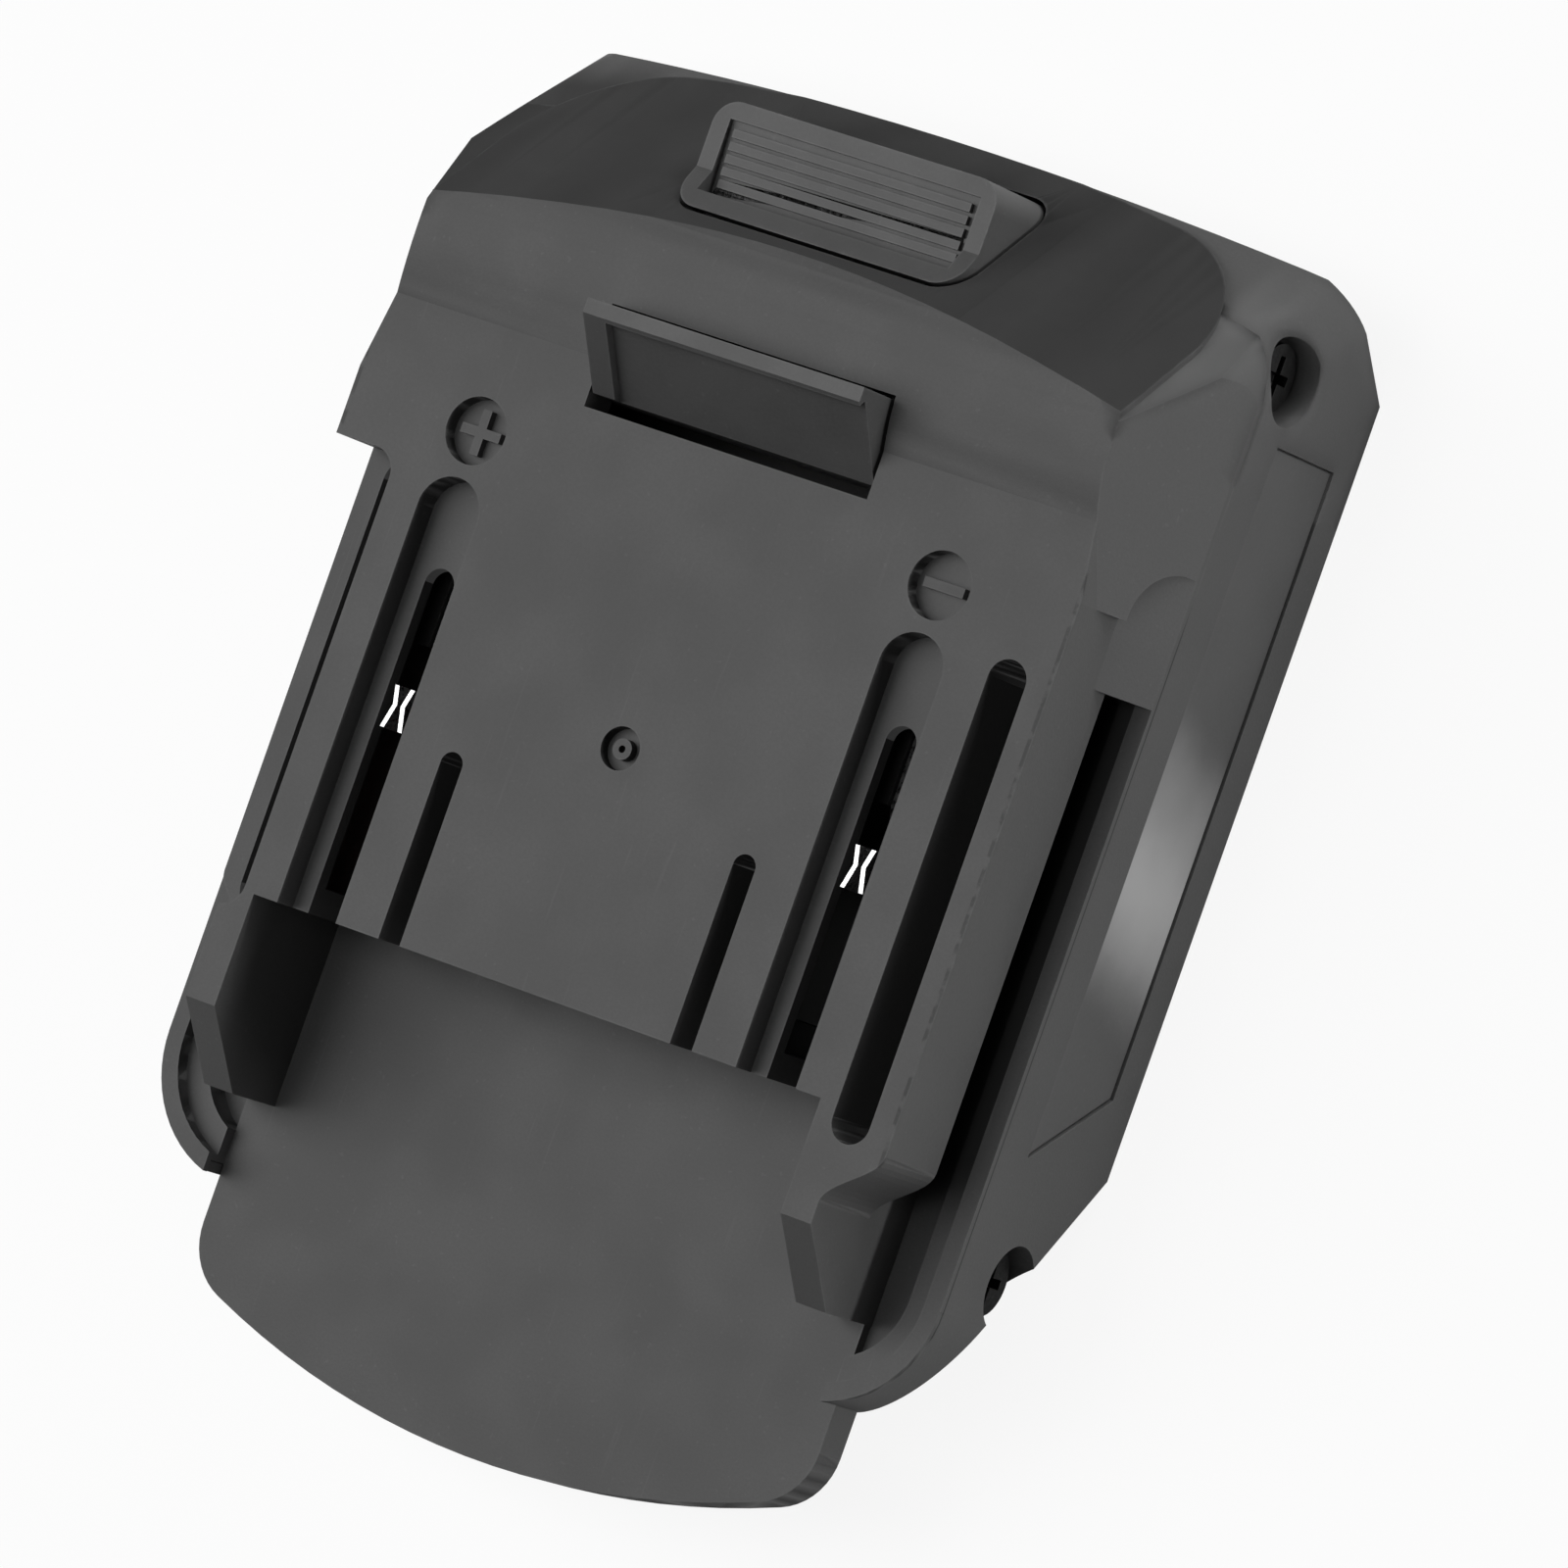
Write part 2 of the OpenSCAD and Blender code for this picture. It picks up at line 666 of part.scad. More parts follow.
module plate_cuts() {
    rear = -plate_rear - over;
    both_sides() {
        slot(contact_x, recess_w, [rear, recess_y], [plate_h - recess_d, plate_h + over]);
        slot(contact_x, power_slot_w, [rear, power_slot_y], [tongue_h, plate_h]);
        slot(clear_x, clear_w, [rear, clear_y], [tongue_h, plate_h + over]);
        difference() {
            translate([contact_x, sign_y, plate_h - sign_depth]) cylinder(d = sign_d, h = sign_depth + over);
            box([contact_x - sign_stroke / 2, contact_x + sign_stroke / 2],
                [sign_y - sign_w / 2, sign_y + sign_w / 2], [0, plate_h - sign_depth / 2]);
        }
    }
    slot(rail_half - rail_lip - rail_slot_w / 2, rail_slot_w, [rail_slot_rear, rail_front],
        [plate_h - rail_slot_d, plate_h + over], true);
    slot(-rail_half + plus_lip + plus_slot_w / 2, plus_slot_w, [plus_rear, rail_front],
        [plate_h - rail_slot_d, plate_h + over], true);
    translate([0, gate_y, plate_h - gate_depth]) {
        difference() {
            cylinder(d = gate_d, h = gate_depth + over);
            translate([0, 0, -over]) cylinder(d = gate_pin, h = gate_depth - gate_low + over);
        }
        cylinder(d = gate_dimple, h = gate_depth + over);
    }
}

// The upright stroke of the plus, which lies at -X; the minus lies at +X
module plus_stroke() {
    box([-contact_x - sign_w / 2, -contact_x + sign_w / 2],
        [sign_y - sign_stroke / 2, sign_y + sign_stroke / 2],
        [plate_h - sign_depth - over / 2, plate_h - sign_depth / 2]);
}

// Shafts in which the hook and the button run
module latch_shafts() {
    box([-hook_half - run_gap, hook_half + run_gap], [hook_y - hook_room, hook_back + run_gap],
        [bridge_h, plate_h + hook_h]);
    button_block(run_gap, [bridge_h - travel, plate_h + over]);
    button_block(run_gap, [face_foot - over, bridge_h]);
}

module upper_shell() color("#3a3a3b") {
    difference() {
        union() {
            difference() {
                union() {
                    head();
                    rails();
                    groove_tray();
                    tongue();
                    legs();
                }
                upper_hollow();
            }
            lugs();
        }
        plate_cuts();
        latch_shafts();
        shell_screw_holes(screw_d / 2 + seat_gap / 2, boss_in - lug_l - over);
    }
    plus_stroke();
}

// Lower shell: side walls, deck, receptacle for the battery and rear end

module lower_outer() {
    difference() {
        intersection() {
            rear_rounded(half_w, [-body_rear, body_front + over], [0, parting_h], rear_r);
            across([-half_w, half_w]) polygon([[-body_rear, 0], [body_front - chin_run, 0],
                [body_front + over, chin_rise * (1 + over / chin_run)], [body_front + over, parting_h],
                [-body_rear, parting_h]]);
            under_face(0);
            behind_front();
        }
        cheek_cut();
        rear_slopes(0);
    }
}

module lower_hollow() {
    // Room above the deck, for the latch and the contacts
    box([-inner_w, inner_w], [stop_y - stop_t, face_y + 1], [deck_h, parting_h + over]);
    box([-face_half + skin, face_half - skin], [0, front_screw_y + lug_w / 2 + 3 * seat_gap],
        [deck_h, parting_h + over]);
    // Rear room, behind the wall that stops the battery
    difference() {
        rear_rounded(inner_w, [-body_rear + wall, stop_y - stop_t], [stop_t, parting_h + over], rear_r - wall);
        rear_slopes(slope_t);
    }
    // Nest for the upper shell's tray
    rear_rounded(half_w - lip_t, [-body_rear + lip_t, shoulder_front + seat_gap],
        [shelf_h - shelf_t, parting_h + over], rear_r - lip_t);
    box([-tongue_half - seat_gap, tongue_half + seat_gap], [-body_rear - over, -plate_rear],
        [tongue_h - tongue_t, parting_h + over]);
    // Seat of the front face
    intersection() {
        face_outline(seat_gap);
        box([-half_w, half_w], [wedge_y - seat_gap, body_front + over], [0, plate_h]);
    }
}

module receptacle() {
    box([-inner_w, inner_w], [stop_y, body_front + over], [lip_h, ceiling_h]);
    box([-mouth_half, mouth_half], [stop_y, body_front + over], [-over, ceiling_h]);
    box([-pocket_half, pocket_half], [pocket_y, pocket_y + pocket_l], [0, deck_h + over]);
    both_sides() box([contact_x - blade_t / 2 - seat_gap, contact_x + blade_t / 2 + seat_gap],
        [stop_y - stop_t - over, stop_y + over], [blade_z - seat_gap, blade_z + blade_w + seat_gap]);
}

// Room in the deck for the foot of the pressed button
module button_relief() {
    box([-button_half - 2 * run_gap, button_half + 2 * run_gap],
        [button_y - 2 * run_gap, button_front + 2 * run_gap], [deck_h - deck_t / 2, parting_h]);
}

module screw_bosses() {
    x = [boss_in, inner_w + over];
    both_sides() {
        intersection() {
            box(x, [front_screw_y - boss_w / 2, front_screw_y + boss_w / 2], [deck_h - over, boss_top]);
            under_face(boss_skin + seat_gap);
        }
        box(x, [rear_screw_y - boss_w / 2, rear_screw_y + boss_w / 2],
            [stop_t - over, tongue_h - tongue_t - seat_gap]);
    }
}

// Bores along X: a shank hole from an inner end, and the wide mouth outside the seat
module shell_screw_holes(r, inner_end) {
    both_sides() for (p = [[front_screw_y, front_screw_h], [rear_screw_y, rear_screw_h]])
        translate([inner_end, p[0], p[1]]) rotate([0, 90, 0]) cylinder(r = r, h = half_w - inner_end + over);
}

module screw_mouths() {
    both_sides() for (p = [[front_screw_y, front_screw_h], [rear_screw_y, rear_screw_h]])
        translate([seat_x, p[0], p[1]]) rotate([0, 90, 0]) cylinder(d = mouth_d, h = seat_depth + over);
}

module panel_profile(gap) {
    low = panel_low + gap;
    high = panel_low + panel_h - gap;
    polygon([[panel_front - gap, low], [panel_front - gap, high], [panel_rear - panel_lean + gap, high],
        [panel_rear + gap, low]]);
}

module lower_shell() color("#3d3d3e") {
    difference() {
        lower_outer();
        difference() {
            lower_hollow();
            intersection() {
                screw_bosses();
                lower_outer();
            }
        }
        receptacle();
        button_relief();
        shell_screw_holes(screw_d / 2 + seat_gap, boss_in - over);
        screw_mouths();
        both_sides() across([half_w - panel_depth, half_w + over]) panel_profile(0);
        small_bores(carrier_holes(), small_d / 2 + seat_gap / 2, bar_h + deck_t + over);
        block_bores();
    }
    // Pegs that hold the springs
    for (s = [-1, 1]) translate([s * spring_x, spring_y, deck_h - over])
        cylinder(d = spring_d - 2 * spring_wire - 0.6, h = over + 2);
}

// Latch: hook, bridge and button in one moulding

module button_block(grow, z) {
    r = button_r + grow;
    half = button_half + grow;
    y = [button_y - grow, button_front + grow];
    box([-half, half], [y[0] + r, y[1] - r], z);
    box([-half + r, half - r], y, z);
    for (s = [-1, 1], e = [y[0] + r, y[1] - r]) translate([s * (half - r), e, z[0]])
        cylinder(r = r, h = z[1] - z[0]);
}

module button() {
    rear_z = plate_h - button_rear_drop;
    front_z = plate_h - button_front_drop;
    foot_z = deck_h - deck_t / 2 + travel + run_gap;
    scoop = [button_y + button_rim, button_front - button_rim];
    scoop_half = button_half - button_rim;
    step = (scoop[1] - scoop[0]) / (rib_n + 1);
    floor_rear = rear_z - scoop_d;
    floor_front = front_z - scoop_front_d;
    rise = (floor_front - floor_rear) / (scoop[1] - scoop[0]);
    difference() {
        intersection() {
            button_block(0, [foot_z, plate_h]);
            across([-button_half, button_half]) polygon([[button_y, bridge_h], [button_front, foot_z],
                [button_front, front_z], [button_y + button_slope, front_z], [button_y, rear_z]]);
        }
        across([-scoop_half, scoop_half]) polygon([[scoop[0], floor_rear], [scoop[1], floor_front],
            [scoop[1], plate_h], [scoop[0], plate_h]]);
    }
    for (i = [1:rib_n]) {
        y = scoop[0] + step * i;
        z = floor_rear + rise * step * i;
        across([-scoop_half + rib_in, scoop_half - rib_in])
            polygon([[y - rib_w / 2, z - over], [y + rib_w / 2, z - over], [y + rib_w / 2, z + rib_h],
                [y - rib_w / 2, z + rib_h]]);
    }
}

module hook() {
    ramp = hook_h * sqrt(2);
    along = [1, 1] / sqrt(2);
    out = [-1, 1] / sqrt(2);
    foot = [hook_y, plate_h];
    top = foot + along * (ramp - hook_lip);
    difference() {
        across([-hook_half, hook_half]) polygon([[hook_y, bridge_h], foot, foot + [hook_h, hook_h],
            [hook_back, plate_h + hook_h], [hook_back, bridge_h]]);
        across([-hook_half + hook_border, hook_half + over]) polygon([foot - along * ramp - out * hook_panel,
            top - out * hook_panel, top + out, foot - along * ramp + out]);
    }
}

module latch_slider() color("#2f2f30") {
    wing_y = [hook_y, hook_back];
    hook();
    button();
    box([-hook_half, hook_half], [hook_y, button_y + button_r], [bridge_h, bridge_h + bridge_t]);
    box([-hook_half - wing, hook_half + wing], wing_y, [bridge_h + bridge_t / 2, plate_under - run_gap]);
    for (s = [-1, 1]) translate([s * spring_x, spring_y, bridge_h - 1.5])
        cylinder(d = spring_d - 2 * spring_wire - 0.6, h = 1.5 + over);
}

// A coil spring standing on the deck, as one tube along a helix
module coil(x) {
    sides = 6;
    per_turn = 12;
    n = spring_turns * per_turn;
    coil_r = (spring_d - spring_wire) / 2;
    low = deck_h + spring_wire / 2;
    rise = spring_l - spring_wire;
    points = [for (i = [0:n], j = [0:sides - 1])
        let (a = 360 * i / per_turn, b = 360 * j / sides, r = coil_r + spring_wire / 2 * cos(b))
        [x + r * cos(a), spring_y + r * sin(a), low + rise * i / n + spring_wire / 2 * sin(b)]];
    walls = [for (i = [0:n - 1], j = [0:sides - 1])
        let (a = i * sides + j, b = i * sides + (j + 1) % sides)
        each [[a, b, b + sides], [a, b + sides, a + sides]]];
    ends = [for (j = [1:sides - 2]) each [[0, j + 1, j],
        [n * sides, n * sides + j, n * sides + j + 1]]];
    polyhedron(points, concat(walls, ends));
}

module latch_spring_left() color("#b9bcc0") coil(-spring_x);
module latch_spring_right() color("#b9bcc0") coil(spring_x);

// Contacts for the tool

// Plan of a clip: two leaves that flare, pinch and flare again, joined at the back
module clip_plan() {
    back = carrier_y + carrier_l - carrier_wall - seat_gap;
    leaf = [[clip_flare_w / 2, clip_y - clip_flare_l], [clip_pinch / 2, clip_y],
        [clip_flare_w / 2, clip_y + clip_flare_l], [clip_back_w / 2, carrier_y], [clip_back_w / 2, back - clip_t]];
    n = len(leaf);
    outer = [for (p = leaf) p + [clip_t, 0]];
    for (s = [-1, 1]) polygon([for (i = [0:2 * n - 1]) let (p = i < n ? leaf[i] : outer[2 * n - 1 - i])
        [s * p.x, p.y]]);
    translate([-clip_back_w / 2 - clip_t, back - clip_t]) square([clip_back_w + 2 * clip_t, clip_t]);
}

module clip(x) {
    top = plate_h - clip_drop;
    difference() {
        translate([x, 0, top - clip_h]) linear_extrude(clip_h) clip_plan();
        box([x - recess_w, x + recess_w], [clip_y + clip_flare_l - clip_t, power_slot_y + over],
            [plate_under - clip_step, plate_h]);
    }
    box([x - clip_t / 2, x + clip_t / 2], [carrier_y - tab_l, carrier_y + carrier_l - carrier_wall - seat_gap],
        [tab_z, tab_z + tab_h]);
    box([x - clip_t / 2, x + clip_t / 2],
        [carrier_y + carrier_l / 2, carrier_y + carrier_l - carrier_wall - seat_gap], [tab_z, top - clip_h + over]);
}

module positive_clip() color("#d8d9da") clip(-contact_x);
module negative_clip() color("#d8d9da") clip(contact_x);

function carrier_holes() = [for (s = [-1, 1])
    [s * carrier_screw_x, carrier_y + carrier_l / 2, deck_h + bar_h]];

// Bores down from a list of seats
module small_bores(seats, r, depth) {
    for (p = seats) translate([p.x, p.y, p.z - depth]) cylinder(r = r, h = depth + over);
}

module contact_carrier() color("#4a4a4a") {
    half = clip_back_w / 2 + clip_t + seat_gap;
    y = [carrier_y, carrier_y + carrier_l];
    difference() {
        union() {
            box([-contact_x, contact_x], y, [deck_h, deck_h + bar_h]);
            for (s = [-1, 1]) box([s * contact_x - half - carrier_wall, s * contact_x + half + carrier_wall], y,
                [deck_h, deck_h + carrier_h]);
        }
        for (s = [-1, 1]) {
            box([s * contact_x - half, s * contact_x + half], [y[0] - over, y[1] - carrier_wall],
                [plate_h - clip_drop - clip_h - seat_gap, deck_h + carrier_h + over]);
            box([s * contact_x - clip_t / 2 - seat_gap, s * contact_x + clip_t / 2 + seat_gap],
                [y[0] - over, y[1] - carrier_wall], [tab_z - seat_gap, deck_h + carrier_h]);
        }
        small_bores(carrier_holes(), small_d / 2 + seat_gap, bar_h + over);
    }
}

// Contacts for the battery

module terminal_block() color("#454545") {
    difference() {
        box([-block_half, block_half], [tail_y, stop_y - stop_t - seat_gap], [stop_t, block_h]);
        for (s = [-1, 1]) box([s * contact_x - blade_t / 2, s * contact_x + blade_t / 2],
            [tail_y - over, stop_y], [blade_z, blade_z + blade_w]);
        block_bores();
    }
}

// Blind bores for the small screws through the block into the wall that stops the battery
module block_bores() {
    for (s = [-1, 1]) translate([s * block_screw_x, tail_y - over, block_h / 2 + 1]) rotate([-90, 0, 0])
        cylinder(r = small_d / 2 + seat_gap / 2, h = over + block_l + seat_gap + stop_t - 0.8);
}

module blade(x) {
    box([x - blade_t / 2, x + blade_t / 2], [tail_y - blade_tail, stop_y + blade_reach],
        [blade_z, blade_z + blade_w]);
}

module positive_blade() color("#c9a227") blade(-contact_x);
module negative_blade() color("#c9a227") blade(contact_x);

// Leads from the solder tabs of the clips to the tails of the blades

// Route of a lead in Y and Z: over the deck, under the tongue, down to the blade's tail
tab_end = [carrier_y - tab_l, tab_z + tab_h / 2];
deck_end = [stop_y - stop_t, deck_h + lead_d / 2 + 0.5];
tongue_in = [-plate_rear + over, tongue_h - tongue_t - lead_d / 2 - 0.4];
tail_end = [tail_y - blade_tail * 0.6, blade_z + blade_w];
lead_route = [tab_end, tab_end - [3, 0], (tab_end * 2 + deck_end) / 3 - [1, 0], (tab_end + deck_end * 2) / 3,
    deck_end, tongue_in, [tail_end.x + 1.9, tongue_in.y], [tail_end.x + 0.8, tongue_in.y - 0.3],
    [tail_end.x + 0.2, tongue_in.y - 1], [tail_end.x, tongue_in.y - 2], tail_end];

module lead(x) {
    sides = 8;
    n = len(lead_route);
    points = [for (i = [0:n - 1], j = [0:sides - 1])
        let (t = lead_route[min(i + 1, n - 1)] - lead_route[max(i - 1, 0)], d = t / norm(t), b = 360 * j / sides)
        [x + lead_d / 2 * cos(b), lead_route[i].x - d.y * lead_d / 2 * sin(b),
            lead_route[i].y + d.x * lead_d / 2 * sin(b)]];
    walls = [for (i = [0:n - 2], j = [0:sides - 1])
        let (a = i * sides + j, b = i * sides + (j + 1) % sides)
        each [[a, b, b + sides], [a, b + sides, a + sides]]];
    ends = [for (j = [1:sides - 2]) each [[0, j + 1, j],
        [(n - 1) * sides, (n - 1) * sides + j, (n - 1) * sides + j + 1]]];
    polyhedron(points, concat(walls, ends));
}

module positive_lead() color("#b3261e") lead(-lead_x);
module negative_lead() color("#1d1d1f") lead(lead_x);

// Shrink sleeve round the joint between a lead and its clip's tab
module sleeve(x) {
    translate([x, tab_end.x - sleeve_l / 2, tab_end.y]) rotate([-90, 0, 0]) difference() {
        cylinder(d = sleeve_d, h = sleeve_l);
        translate([0, 0, -over]) cylinder(d = lead_d + 2 * seat_gap, h = sleeve_l + 2 * over);
    }
}

module positive_sleeve() color("#7d1f1a") sleeve(-lead_x);
module negative_sleeve() color("#26262a") sleeve(lead_x);

// Screws

module screw(d, head_d, head_h, l) {
    difference() {
        union() {
            cylinder(d = head_d, h = head_h);
            translate([0, 0, -l]) cylinder(d = d, h = l + over);
        }
        for (a = [0, 90]) rotate([0, 0, a]) translate([-head_d * 0.32, -head_d * 0.07, head_h * 0.45])
            cube([head_d * 0.64, head_d * 0.14, head_h]);
    }
}

module shell_screws() color("#8d9094") both_sides()
    for (p = [[front_screw_y, front_screw_h], [rear_screw_y, rear_screw_h]])
        translate([seat_x, p[0], p[1]]) rotate([0, 90, 0]) screw(screw_d, screw_head_d, screw_head_h, screw_l);

module carrier_screws() color("#8d9094") for (p = carrier_holes())
    translate(p) screw(small_d, small_head_d, small_head_d * 0.4, small_l);

module terminal_screws() color("#8d9094") for (s = [-1, 1])
    translate([s * block_screw_x, tail_y, block_h / 2 + 1]) rotate([90, 0, 0])
        screw(small_d, small_head_d, small_head_d * 0.4, block_l + seat_gap + stop_t - 1.2);

// Blank glossy inlays in the side walls

module side_panel(s) {
    x = [half_w - panel_depth, half_w - panel_depth + panel_t];
    mirror([s < 0 ? 1 : 0, 0, 0]) across(x) panel_profile(seat_gap);
}

module side_panel_left() color("#2b2b2c") side_panel(-1);
module side_panel_right() color("#2b2b2c") side_panel(1);

upper_shell();
lower_shell();
latch_slider();
latch_spring_left();
latch_spring_right();
contact_carrier();
positive_clip();
negative_clip();
terminal_block();
positive_blade();
negative_blade();
positive_lead();
negative_lead();
positive_sleeve();
negative_sleeve();
shell_screws();
carrier_screws();
terminal_screws();
side_panel_left();
side_panel_right();
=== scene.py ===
"""Looks of the tool battery adapter: finishes, springs, leads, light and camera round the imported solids."""

import json
import math

import bpy
from mathutils import Matrix, Vector

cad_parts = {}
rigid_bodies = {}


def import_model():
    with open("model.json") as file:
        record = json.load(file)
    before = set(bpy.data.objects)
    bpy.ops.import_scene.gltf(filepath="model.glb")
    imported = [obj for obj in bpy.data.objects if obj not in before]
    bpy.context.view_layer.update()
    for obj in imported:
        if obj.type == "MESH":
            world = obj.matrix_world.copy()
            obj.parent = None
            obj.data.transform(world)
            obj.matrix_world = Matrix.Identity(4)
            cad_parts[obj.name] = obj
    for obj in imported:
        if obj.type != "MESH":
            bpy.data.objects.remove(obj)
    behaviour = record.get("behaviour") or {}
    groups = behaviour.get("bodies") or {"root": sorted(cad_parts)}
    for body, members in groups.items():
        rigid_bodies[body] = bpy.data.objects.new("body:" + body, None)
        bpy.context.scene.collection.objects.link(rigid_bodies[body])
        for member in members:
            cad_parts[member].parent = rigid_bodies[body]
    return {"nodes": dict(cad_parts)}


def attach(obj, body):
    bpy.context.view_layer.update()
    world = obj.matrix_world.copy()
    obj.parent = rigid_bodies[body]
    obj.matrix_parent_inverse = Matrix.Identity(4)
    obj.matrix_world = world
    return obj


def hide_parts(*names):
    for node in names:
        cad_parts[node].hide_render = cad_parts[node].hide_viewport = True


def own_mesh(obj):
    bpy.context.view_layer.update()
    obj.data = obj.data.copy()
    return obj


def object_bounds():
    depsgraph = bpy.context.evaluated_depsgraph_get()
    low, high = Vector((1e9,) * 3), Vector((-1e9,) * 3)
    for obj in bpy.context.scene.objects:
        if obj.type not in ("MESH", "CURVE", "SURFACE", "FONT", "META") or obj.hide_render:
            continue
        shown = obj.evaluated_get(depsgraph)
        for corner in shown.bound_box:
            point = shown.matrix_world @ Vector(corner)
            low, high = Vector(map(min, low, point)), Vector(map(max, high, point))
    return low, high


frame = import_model()
NODES = frame["nodes"]
for stray in [o for o in bpy.data.objects if o.name in ("Cube", "Light", "Camera")]:
    bpy.data.objects.remove(stray)
CAD_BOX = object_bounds()
MM = 0.001


# Camera of the photograph

PHOTO_PX = 1600
FOCAL_PX = 13000
SENSOR_MM = 36
CAMERA_AIM = Vector((9.13, 2.46, 20)) * MM
CAMERA_AZIMUTH = -1.24
CAMERA_ELEVATION = 60.45
CAMERA_ROLL = -69.52
CAMERA_DISTANCE = 990.5 * MM


def turn(degrees, axis):
    return Matrix.Rotation(math.radians(degrees), 4, axis)


def add_camera():
    """Camera above the right side of the part, rolled until the tongue points down and to the left."""
    data = bpy.data.cameras.new("camera")
    data.sensor_fit = "HORIZONTAL"
    data.sensor_width = SENSOR_MM
    data.lens = FOCAL_PX / PHOTO_PX * SENSOR_MM
    data.clip_start = 0.01
    data.clip_end = 20
    camera = bpy.data.objects.new("camera", data)
    heading = turn(90 + CAMERA_AZIMUTH, "Z") @ turn(90 - CAMERA_ELEVATION, "X") @ turn(CAMERA_ROLL, "Z")
    camera.matrix_world = Matrix.Translation(CAMERA_AIM) @ heading @ Matrix.Translation((0, 0, CAMERA_DISTANCE))
    bpy.context.scene.collection.objects.link(camera)
    bpy.context.scene.camera = camera


# Shader building

class Finish:
    """One material and short calls that build its node tree in object space."""

    def __init__(self, name):
        self.material = bpy.data.materials.new(name)
        self.material.use_nodes = True
        self.tree = self.material.node_tree
        self.bsdf = self.tree.nodes["Principled BSDF"]
        self.place = self.node("TexCoord").outputs["Object"]

    def feed(self, socket, value):
        if isinstance(value, bpy.types.NodeSocket):
            self.tree.links.new(value, socket)
        else:
            socket.default_value = value

    def node(self, kind, inputs=None, **settings):
        made = self.tree.nodes.new("ShaderNode" + kind)
        for key, value in settings.items():
            setattr(made, key, value)
        for key, value in (inputs or {}).items():
            self.feed(made.inputs[key], value)
        return made

    def math(self, operation, a, b=0.0):
        return self.node("Math", {0: a, 1: b}, operation=operation).outputs[0]

    def noise(self, size_mm, detail=2.0, stretch=(1, 1, 1), distortion=0.0):
        """Noise whose features are about size_mm across, drawn out along an axis where stretch is under 1."""
        spread = self.node("Mapping", {"Vector": self.place, "Scale": stretch}).outputs[0]
        inputs = {"Vector": spread, "Scale": 1 / (size_mm * MM), "Detail": detail, "Distortion": distortion}
        return self.node("TexNoise", inputs).outputs[0]

    def ramp(self, value, low, high, out_low=0.0, out_high=1.0, smooth=True):
        inputs = {"Value": value, "From Min": low, "From Max": high, "To Min": out_low, "To Max": out_high}
        kind = "SMOOTHSTEP" if smooth else "LINEAR"
        return self.node("MapRange", inputs, interpolation_type=kind).outputs[0]

    def mix(self, share, a, b):
        inputs = {0: share, 6: a, 7: b}
        return self.node("Mix", inputs, data_type="RGBA").outputs[2]

    def axes(self):
        """X, Y and Z of the point, in millimetres."""
        parts = self.node("SeparateXYZ", {0: self.place}).outputs
        return [self.math("DIVIDE", part, MM) for part in parts]

    def band(self, value, middle, half, blur):
        """1 where the value is within half of the middle, fading out over blur."""
        off = self.math("ABSOLUTE", self.math("SUBTRACT", value, middle))
        return self.ramp(off, half + blur, half)

    def both(self, a, b):
        return self.math("MULTIPLY", a, b)

    def true_normal(self):
        """X, Y and Z of the flat face's own normal."""
        return self.node("SeparateXYZ", {0: self.node("NewGeometry").outputs["True Normal"]}).outputs

    def edges(self, radius_mm):
        """1 along outer and inner edges, from how far a rounded normal leaves the true one."""
        rounded = self.node("Bevel", {"Radius": radius_mm * MM}, samples=6).outputs[0]
        normal = self.node("NewGeometry").outputs["Normal"]
        along = self.node("VectorMath", {0: rounded, 1: normal}, operation="DOT_PRODUCT").outputs["Value"]
        return self.ramp(along, 0.995, 0.9)

    def relief(self, height, depth_mm, normal=None):
        inputs = {"Height": height, "Distance": depth_mm * MM}
        if normal is not None:
            inputs["Normal"] = normal
        self.feed(self.bsdf.inputs["Normal"], self.node("Bump", inputs).outputs[0])

    def set(self, **values):
        for key, value in values.items():
            self.feed(self.bsdf.inputs[key.replace("_", " ")], value)


def grey(level):
    return (level, level, level, 1)


# Finishes

FACE_HALF = 32.4
FACE_CORNER = 9.6
FACE_FOOT = 14
FACE_REAR = 35
PARTING_H = 18.4
RIM_H = 19
WALL_X = 37
PLATE_H = 30
FLASH_X = 33.8
GROOVE_X = 32.5
GROOVE_HALF = 3
GRAIN_DEPTH = 0.010


def moulded(name, level, rough=0.62, grain_mm=0.22, grain_depth=GRAIN_DEPTH):
    """Dark glass-filled plastic: spark-eroded grain, uneven gloss and pale specks."""
    f = Finish(name)
    f.grain = f.noise(grain_mm, 3)
    cloud = f.noise(7, 4)
    speck = f.ramp(f.noise(0.5, 1), 0.70, 0.78)
    tone = f.mix(f.ramp(cloud, 0.3, 0.7), grey(level * 0.94), grey(level * 1.06))
    tone = f.mix(f.ramp(f.grain, 0.3, 0.7, 0, 0.35), tone, grey(level * 1.25))
    f.tone = f.mix(f.both(speck, 0.18), tone, grey(level * 2.2))
    f.gloss = f.ramp(cloud, 0.3, 0.7, rough - 0.04, rough + 0.04)
    f.set(Base_Color=f.tone, Roughness=f.gloss)
    f.relief(f.grain, grain_depth)
    return f


